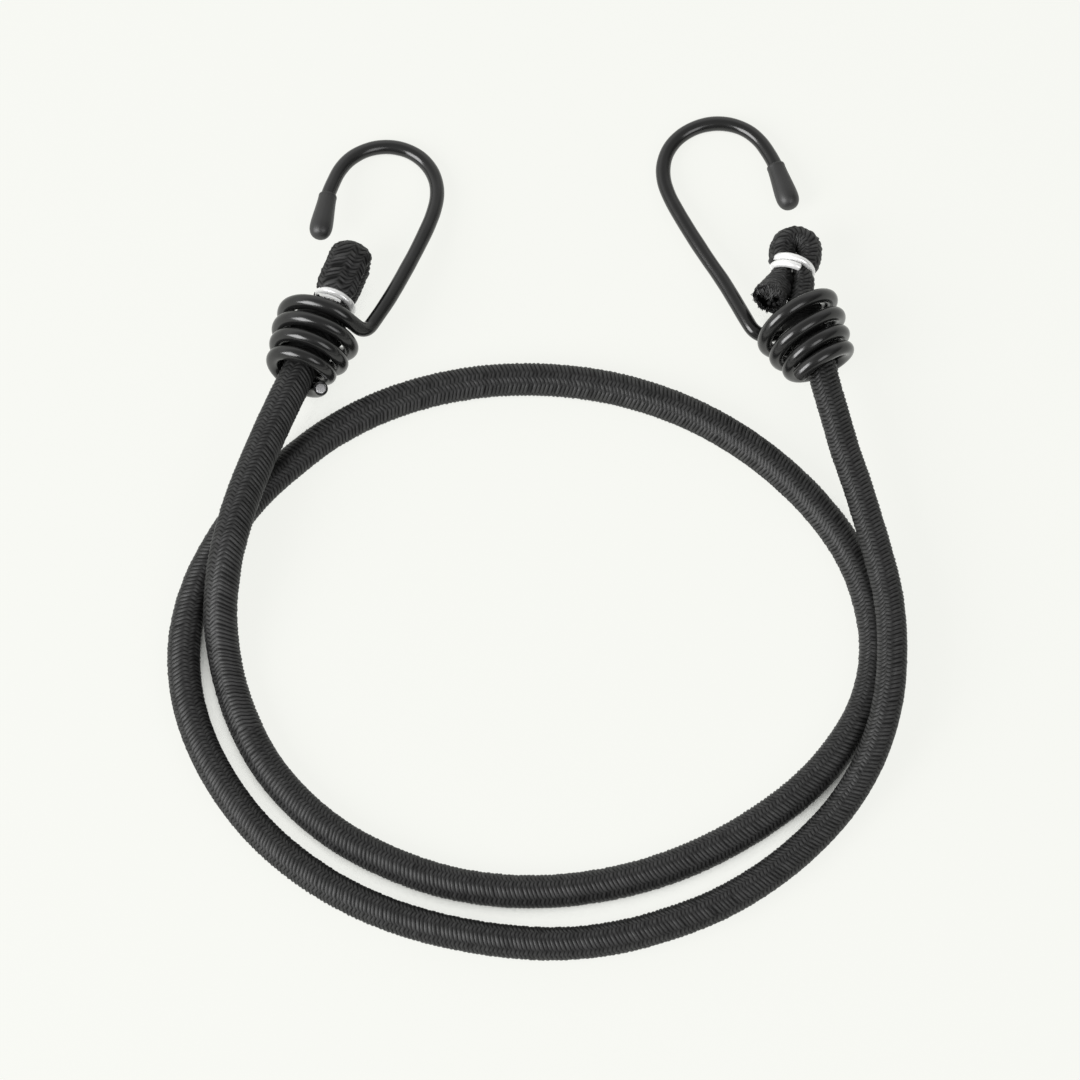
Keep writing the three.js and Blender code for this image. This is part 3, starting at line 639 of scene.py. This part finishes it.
height = profile[phase] + crushed * (np.minimum(lift[yarn, half], 0.05) * (phase != 0) + tilt[yarn, half] * np.array([0, -1, 0, 1])[phase])
height = np.where(border, -0.10 + 0.45 * profile[phase], height)
height += rng.normal(0, 0.012, height.shape)
outer = surface(grid_s, grid_a, height)
# painted shade inside the coils: the braid's colour and shine are darkened there
coil_painted_shade = smoothstep(ring_s, SEAM[0] - 25, SEAM[0] - 22) * (1 - smoothstep(ring_s, SEAM[0] - 9, SEAM[0] - 6.5)) + smoothstep(ring_s, SEAM[3] + 5, SEAM[3] + 7.5) * (1 - smoothstep(ring_s, SEAM[3] + 20, SEAM[3] + 23))
# rib value for colour and shine: low down between the yarns (painted shade), cut by 85% inside the coils (painted
# shade), raised by up to 35% near the right cut (painted light)
rib_painted_light = np.clip(1 + height / 0.27, 0, 1.15) * (1 - 0.85 * coil_painted_shade[:, None]) * (1 + 0.35 * smoothstep(ring_s, SEAM[3] + 46, SEAM[3] + 54)[:, None])
tone_value = tones[yarn, half]


def sheath(name, first, last):
    """The braid from one yarn to another, as a closed sleeve with its own inside."""
    i0, i1 = first * PER, last * PER + 1
    part = outer[i0:i1]
    n = len(part)
    inner_rows = np.unique(np.r_[np.arange(0, n, PER * (6 if name == "cord_braid" else 2)), n - 1])
    a_s, a_a = grid_s[i0:i1][inner_rows], grid_a[i0:i1][inner_rows]
    inside = surface(a_s, a_a, np.full(a_s.shape, -SHEATH_WALL))
    m = n * COLS
    j = np.arange(COLS)
    j1 = (j + 1) % COLS
    k = len(inner_rows)
    # the end faces have vertices of their own, so that they don't bend the shading of the yarns
    e = m + k * COLS
    faces = [wall(n, COLS), wall(k, COLS, m, flip=True),
             np.stack([e + j, e + COLS + j, e + COLS + j1, e + j1], 1),
             np.stack([e + 2 * COLS + j, e + 2 * COLS + j1, e + 3 * COLS + j1, e + 3 * COLS + j], 1)]
    verts = np.vstack([part.reshape(-1, 3), inside.reshape(-1, 3), part[0], inside[0], part[-1], inside[-1]])
    # the inside and the end faces take rib 0: the darkest colour and least shine of the painted shade
    rib = np.r_[rib_painted_light[i0:i1].ravel(), np.zeros((k + 4) * COLS)]
    tone = np.r_[tone_value[i0:i1].ravel(), np.zeros((k + 4) * COLS)]
    obj = make(name, verts, faces, BRAID, rib=rib, tone=tone)
    # map for the filaments: u round the cord, v along it following the yarns
    mesh = obj.data
    layer = mesh.uv_layers.new(name="yarn")
    index = np.zeros(len(mesh.loops), np.int32)
    mesh.loops.foreach_get("vertex_index", index)
    is_out = index < m
    c = np.where(is_out, index % COLS, (index - m) % COLS).astype(float)
    row = np.where(is_out, index // COLS, 0)
    start = np.zeros(len(mesh.polygons), np.int32)
    total = np.zeros(len(mesh.polygons), np.int32)
    mesh.polygons.foreach_get("loop_start", start)
    mesh.polygons.foreach_get("loop_total", total)
    owner = np.repeat(np.arange(len(start)), total)
    high = np.maximum.reduceat(c, start)
    wrapped = (high[owner] == COLS - 1) & (c == 0)
    u = (c + COLS * wrapped) * (2 * np.pi * CORD_R / COLS)
    v = (row + i0) * RIB / PER
    layer.data.foreach_set("uv", np.stack([u, v], 1).astype(np.float32).ravel())
    return obj


K = [rib_of(s) for s in SEAM]
loop = sheath("cord_braid", K[1], K[2])
stretch = {"left": sheath("left_stretch_braid", K[0], K[1]), "right": sheath("right_stretch_braid", K[2], K[3])}
ends = {"left": sheath("left_end_braid", 0, K[0]), "right": sheath("right_end_braid", K[3], RIBS)}
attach(loop, "cord")
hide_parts("cord_sheath")
for name in ("left", "right"):
    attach(ends[name], name + "_end")
    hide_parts(name + "_end_sheath")
    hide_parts(name + "_stretch_sheath")


def seam_point(s):
    return tuple(at(np.array([s]), route)[0] * MM)


# ---------------------------------------------------------------- rubber core
def core_line(s0, s1, step):
    s = np.linspace(s0, s1, max(3, int((s1 - s0) / step)))
    return s, at(s, route)


for name, (s0, s1) in (("left", (SEAM[0], SEAM[1])), ("right", (SEAM[2], SEAM[3]))):
    s, line = core_line(s0 + 0.1, s1 - 0.1, 2.0)
    v, f = solid_tube(line, radius(s) - SHEATH_WALL - 0.25, 16, 0.02)
    core = make(name + "_stretch_rubber", v, f, RUBBER)
    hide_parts(name + "_stretch_core")
    piece = stretch[name]
    for obj in (piece, core):
        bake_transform(obj)

# the cut ends show the bundle of rubber threads inside the braid
for name, (s0, s1) in (("left", (START + 0.6, SEAM[0] - 0.1)), ("right", (SEAM[3] + 0.1, TOTAL - START - 0.6))):
    verts, faces, count = [], [], 0
    spots = [(0.0, 0.0)] + [(0.42, k * np.pi / 3) for k in range(6)] + [(0.82, k * np.pi / 6 + 0.2) for k in range(12)]
    for share, a in spots:
        back = 0.15 + abs(rng.normal(0.1, 0.4))
        s = np.arange(s0 + back, s1, 0.8) if name == "left" else np.arange(s0, s1 - back, 0.8)
        thin, wide = sizes(s, name)
        w = FOLDS[name][1]
        way = np.cos(a + 0.03 * s)[:, None] * at(s, N) + np.sin(a + 0.03 * s)[:, None] * at(s, B)
        part = (way @ w)[:, None]
        line = at(s, route) + share * ((way - part * w) * (thin - SHEATH_WALL - 0.15)[:, None] + part * w * (wide - SHEATH_WALL - 0.15)[:, None])
        v, f = solid_tube(line, np.minimum(thin, wide) * 0.14, 8, 0.3)
        verts.append(v)
        faces += [np.asarray(x) + count for x in f]
        count += len(v)
    threads = make(name + "_end_rubber", np.vstack(verts), faces, RUBBER)
    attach(threads, name + "_end")
    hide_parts(name + "_end_core")

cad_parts["cord_core"].data.materials.clear()
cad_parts["cord_core"].data.materials.append(RUBBER)


# ---------------------------------------------------------------- frayed yarn at the cuts
def strands(name, made):
    """One mesh of loose filaments; made is a list of (line, thickness, tone)."""
    verts, faces, tone, k = [], [], [], 0
    for line, thick, shade in made:
        line = np.array(line)
        line[:, 2] = np.maximum(line[:, 2], 0.2)
        v, f = solid_tube(line, thick * np.linspace(1, 0.45, len(line)), 5, 0.4)
        verts.append(v)
        faces += [np.asarray(q) + k for q in f]
        k += len(v)
        tone.append(np.full(len(v), shade))
    obj = make(name + "_frayed_yarn", np.vstack(verts), faces, FIBRE, tone=np.concatenate(tone))
    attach(obj, name + "_end")


def rim(s, angle, off):
    return surface(np.array([s]), np.array([angle]), np.array([off]))[0]


def ring_frame(side):
    axis, level = unit(side["ringAxis"]), unit(side["ringSide"])
    return np.array(side["ringAt"]), axis, level, np.cross(level, axis)


x = np.linspace(0, 1, 6)[:, None]
# right cut: short stubs round the rim, and pale filaments fallen from its upper lip across the open end
g = np.random.default_rng(5)
home, axis, level, up = ring_frame(RIGHT)
cut = TOTAL - START
out = at(np.array([cut]), T)[0]
made = []
for _ in range(420):
    a, back = g.random() * 2 * np.pi, g.uniform(0.3, 1.5)
    p = rim(cut - back, a, -g.uniform(0.0, 0.6))
    away = unit(p - at(np.array([cut - back]), route)[0])
    long = back + g.uniform(-0.1, 0.5)
    made.append((p + out * long * x + away * long * g.normal(-0.3, 0.22) * x ** 1.5 + unit(g.normal(0, 1, 3)) * long * g.uniform(0, 0.22) * x ** 2, g.uniform(0.11, 0.22), g.uniform(0, 0.7)))
for _ in range(260):
    a, back = g.random() * 2 * np.pi, g.uniform(0.2, 1.4)
    p = rim(cut - back, a, -g.uniform(0.0, 0.4))
    away = p - at(np.array([cut - back]), route)[0]
    if away @ up < 0.4 or away @ level > 2.4:
        continue
    drop = g.uniform(0.5, 2.2) if g.random() < 0.82 else g.uniform(2.2, 4.6)
    made.append((p + out * (back + 0.5) * x ** 0.6 - unit(away) * drop * x ** 1.7 + level * g.normal(0, 0.5) * x, g.uniform(0.06, 0.12), g.uniform(0.45, 1.0)))
for _ in range(26):
    a, back = g.random() * 2 * np.pi, g.uniform(0.4, 1.2)
    p = rim(cut - back, a, -g.uniform(0.1, 0.5))
    away = unit(p - at(np.array([cut - back]), route)[0])
    long = back + g.uniform(0.3, 0.9)
    made.append((p + out * long * x + away * long * g.uniform(-0.3, 0.05) * x ** 1.5 + unit(g.normal(0, 1, 3)) * 0.3 * x ** 2, g.uniform(0.14, 0.26), g.uniform(0.1, 0.6)))
strands("right", made)

# left cut: the yarn stands up in a ragged fringe between the ring and the coil
g = np.random.default_rng(3)
home, axis, level, up = ring_frame(LEFT)
made = []
for _ in range(210):
    u = g.uniform(-4.3, 4.3)
    root = home + level * u * 0.92 + axis * (-3.1 + g.normal(0, 0.25)) + up * g.uniform(2.6, 4.4)
    tipped = home + level * (u + g.normal(0, 0.35)) + axis * (-2.35 + g.normal(0, 0.2)) + up * (6.1 + g.normal(0, 0.25) + 0.5 * (u < -3.9))
    made.append((root + (tipped - root) * x + axis * 0.4 * np.sin(np.pi * x) * g.normal(0, 1), g.uniform(0.12, 0.26), g.uniform(0, 0.6)))
strands("left", made)


# ---------------------------------------------------------------- hooks
def look_up(table, at_deg, column):
    """Smooth value of one column of a table whose first column runs evenly."""
    table = np.array(table, float)
    step = table[1, 0] - table[0, 0]
    x = np.clip((np.asarray(at_deg, float) - table[0, 0]) / step, 0, len(table) - 1.000001)
    i = np.floor(x).astype(int)
    t = x - i
    p = lambda k: table[np.clip(k, 0, len(table) - 1), column]
    a, b, c, d = p(i - 1), p(i), p(i + 1), p(i + 2)
    return 0.5 * (2 * b + (c - a) * t + (2 * a - 5 * b + 4 * c - d) * t ** 2 + (3 * b - a - 3 * c + d) * t ** 3)


def wire_line(side):
    """Centreline of one hook's wire: coil from its free end, elbow, shank, arc, tip."""
    axis, out = np.array(side["coilAxis"]), np.array(side["shankSide"])
    up = np.cross(axis, out)
    deg = np.linspace(side["coilFrom"], side["coilTo"], int((side["coilTo"] - side["coilFrom"]) / 4) + 1)
    r, h, t = look_up(side["turns"], deg, 1), look_up(side["turns"], deg, 2), np.radians(deg)
    coil = np.array(side["coilAt"]) + out * (r * np.cos(t))[:, None] + up * (r * np.sin(t))[:, None] + axis * h[:, None]
    corner = np.array(side["corner"])
    bend = corner + np.array([np.array(side["along"]) * x + np.array(side["across"]) * y for x, y in side["bend"]])
    back, on = unit(coil[-1] - corner), unit(bend[0] - corner)
    angle = math.acos(float(np.clip(back @ on, -1, 1)))
    reach = ELBOW_R / math.tan(angle / 2)
    centre = corner + unit(back + on) * (ELBOW_R / math.sin(angle / 2))
    f0, f1 = corner + back * reach - centre, corner + on * reach - centre
    elbow = [centre + unit(f0 * (1 - q) + f1 * q) * ELBOW_R for q in np.linspace(0, 1, 7)]
    points = np.vstack([coil[:-1:3], coil[-1:], elbow, bend])
    return soften(spline(points, 0.35), 1.5)


def hook(name, side):
    line = wire_line(side)
    run = np.r_[0, np.cumsum(np.linalg.norm(np.diff(line, axis=0), axis=1))]
    # dipped coating: its thickness wanders a little along the wire
    waves = sum(a * np.sin(run / w + p) for a, w, p in ((0.016, 3.1, 0.4), (0.012, 1.7, 2.0), (0.008, 0.9, 4.1)))
    bore = np.full(len(line), WIRE_R + 0.04)
    if name == "right":
        bore[:3] = 0.05
    v, f = hollow_tube(line, COAT_R + waves, bore, 28)
    coat = make(name + "_hook_sleeve", v, f, COATING)
    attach(coat, name + "_hook")
    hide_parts(name + "_hook_coating")
    v, f = solid_tube(resample(line if name == "left" else line[5:], 0.9), WIRE_R, 20, 0.06)
    wire = make(name + "_hook_steel", v, f, STEEL)
    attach(wire, name + "_hook")
    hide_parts(name + "_hook_wire")
    return line


WIRES = {"left": hook("left", LEFT), "right": hook("right", RIGHT)}


def tip(name, side):
    """Soft cap on the hook's end: a lip at its mouth, a slight swelling and a round end."""
    outside = [(2.02, 0.0), (2.13, 0.05), (2.22, 0.2), (2.26, 0.5), (2.23, 0.85), (2.28, 2.0), (2.44, 4.0), (2.64, 6.2), (2.77, 8.0),
               (2.79, 9.2), (2.66, 10.3), (2.3, 11.2), (1.75, 11.85), (1.05, 12.2), (0.4, 12.32)]
    line = spline([(r, y, 0) for r, y in outside], 0.22)
    mouth, end = np.array(side["capMouth"]), np.array(side["capEnd"])
    axis = unit(end - mouth)
    n = unit(np.cross(axis, (0, 0, 1)))
    b = np.cross(axis, n)
    sides = 56
    a = 2 * np.pi * np.arange(sides) / sides
    seam = 0.035 * (np.exp(-(np.minimum(np.abs(a - np.pi / 2), np.abs(a - 3 * np.pi / 2)) / 0.05) ** 2))
    rings = [(r, y, 1.0) for r, y, _ in line]
    grid = np.array([[mouth + axis * y + (np.cos(t) * n + np.sin(t) * b) * (r + seam[k] * min(1, y) * (r > 1.2)) for k, t in enumerate(a)] for r, y, _ in rings])
    bore = np.array([[mouth + axis * y + (np.cos(t) * n + np.sin(t) * b) * r for t in a] for r, y in ((COAT_R + 0.06, 0.0), (COAT_R + 0.06, 9.6), (0.3, 9.7))])
    rows_o, rows_i = len(grid), len(bore)
    m = rows_o * sides
    j = np.arange(sides)
    j1 = (j + 1) % sides
    verts = np.vstack([grid.reshape(-1, 3), bore.reshape(-1, 3), [mouth + axis * 12.34, mouth + axis * 9.7]])
    k = m + rows_i * sides
    faces = [wall(rows_o, sides), wall(rows_i, sides, m, flip=True), np.stack([j, m + j, m + j1, j1], 1),
             np.stack([np.full(sides, k), m - sides + j, m - sides + j1], 1),
             np.stack([np.full(sides, k + 1), k - sides + j1, k - sides + j], 1)]
    cap = make(name + "_tip_cap", verts, faces, CAP)
    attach(cap, name + "_hook")
    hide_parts(name + "_hook_tip")


tip("left", LEFT)
tip("right", RIGHT)


# ---------------------------------------------------------------- crimp rings
def crimp(name, side):
    axis, level = np.array(side["ringAxis"]), np.array(side["ringSide"])
    up = np.cross(level, axis)
    deg = np.linspace(RING_FROM, RING_FROM + RING_SWEEP, 70)
    t = np.radians(deg)
    h = RING_PITCH * (deg - RING_FROM - RING_SWEEP / 2) / 360
    points = np.array(side["ringAt"]) + level * (RING_R * np.cos(t))[:, None] + up * (RING_R * np.sin(t))[:, None] + axis * h[:, None]
    line = spline(points, 0.3, 4)
    v, f = solid_tube(line, RING_WIRE_R, 20, 0.35)
    obj = make(name + "_crimp_wire", v, f, RING)
    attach(obj, name + "_end")
    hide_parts(name + "_crimp_ring")


crimp("left", LEFT)
crimp("right", RIGHT)

rings = [tuple(p * MM) for p in at(ring_s[K[1] * PER:K[2] * PER + 1:PER * 3], route)]
rings.append(seam_point(ring_s[K[2] * PER]))

# ---------------------------------------------------------------- studio
FLOOR_GLOW = 0.915


def studio():
    m, nodes, links, bsdf = shader("floor_paper")
    bsdf.inputs["Base Color"].default_value = (0.055, 0.055, 0.053, 1)
    bsdf.inputs["Roughness"].default_value = 1.0
    bsdf.inputs["Specular IOR Level"].default_value = 0.0
    bsdf.inputs["Emission Color"].default_value = (0.930, 0.939, 0.896, 1)
    # the floor glows evenly; ambient occlusion darkens the glow where things crowd close over it, as under the coils:
    # painted shade
    near = node(nodes, "ShaderNodeAmbientOcclusion", samples=12)
    near.inputs["Distance"].default_value = 0.02
    glow_with_painted_shade = node(nodes, "ShaderNodeMapRange", interpolation_type="SMOOTHSTEP")
    glow_with_painted_shade.inputs["From Min"].default_value, glow_with_painted_shade.inputs["From Max"].default_value = 0.1, 0.3
    glow_with_painted_shade.inputs["To Min"].default_value, glow_with_painted_shade.inputs["To Max"].default_value = 0.02, FLOOR_GLOW
    links.new(near.outputs["AO"], glow_with_painted_shade.inputs["Value"])
    links.new(glow_with_painted_shade.outputs[0], bsdf.inputs["Emission Strength"])
    rings_r = [0.0, 0.4, 1.0, 2.0, 3.0, 4.0, 5.0, 6.0, 7.0, 8.0]
    rise = [0, 0, 0, 0, 0.03, 0.12, 0.28, 0.52, 0.82, 1.2]
    seg = 96
    a = 2 * np.pi * np.arange(seg) / seg
    verts = [(0.0, -70.0, 0.0)]
    for r, z in zip(rings_r[1:], rise[1:]):
        verts += [(1000 * r * math.cos(t), 1000 * r * math.sin(t) - 70.0, 1000 * z) for t in a]
    faces = [np.array([[0, 1 + j, 1 + (j + 1) % seg] for j in range(seg)]), wall(len(rings_r) - 1, seg, 1, flip=True)]
    floor = make("floor", verts, faces, m)

    world = bpy.data.worlds.new("studio")
    bpy.context.scene.world = world
    world.use_nodes = True
    nodes, links = world.node_tree.nodes, world.node_tree.links
    back = nodes["Background"]
    way = node(nodes, "ShaderNodeTexCoord")
    dot = node(nodes, "ShaderNodeVectorMath", operation="DOT_PRODUCT")
    dot.inputs[1].default_value = (-0.45, 0.88, 0.1)
    links.new(way.outputs["Generated"], dot.inputs[0])
    side = node(nodes, "ShaderNodeMapRange", interpolation_type="SMOOTHSTEP")
    side.inputs["From Min"].default_value, side.inputs["From Max"].default_value = -0.35, 0.75
    side.inputs["To Min"].default_value, side.inputs["To Max"].default_value = 0.16, 1.15
    links.new(dot.outputs["Value"], side.inputs["Value"])
    xyz = node(nodes, "ShaderNodeSeparateXYZ")
    links.new(way.outputs["Generated"], xyz.inputs[0])
    up = node(nodes, "ShaderNodeMapRange", interpolation_type="SMOOTHSTEP")
    up.inputs["From Min"].default_value, up.inputs["From Max"].default_value = 0.45, 0.95
    links.new(xyz.outputs["Z"], up.inputs["Value"])
    mix = node(nodes, "ShaderNodeMix", data_type="FLOAT")
    links.new(up.outputs[0], mix.inputs[0])
    links.new(side.outputs[0], mix.inputs[2])
    mix.inputs[3].default_value = 0.45
    back.inputs["Color"].default_value = (1, 1, 0.985, 1)
    links.new(mix.outputs[0], back.inputs["Strength"])

    def softbox(name, azimuth, elevation, distance, width, height, radiance):
        data = bpy.data.lights.new(name, "AREA")
        data.shape, data.size, data.size_y = "RECTANGLE", width, height
        data.energy = radiance * math.pi * width * height
        obj = bpy.data.objects.new(name, data)
        a, e = math.radians(azimuth), math.radians(elevation)
        way = Vector((math.sin(a) * math.cos(e), math.cos(a) * math.cos(e), math.sin(e)))
        obj.location = Vector((0, -0.02, 0)) + way * distance
        obj.rotation_mode = "QUATERNION"
        obj.rotation_quaternion = (-way).to_track_quat("-Z", "Y")
        obj.visible_camera = False
        bpy.context.scene.collection.objects.link(obj)

    softbox("key_softbox", -119, 36, 1.6, 1.0, 1.05, 11.1)
    softbox("fill_softbox", 136, 45, 1.6, 0.75, 0.9, 3.6)


studio()
bpy.context.scene.view_settings.view_transform = "Standard"
bpy.context.scene.view_settings.look = "None"
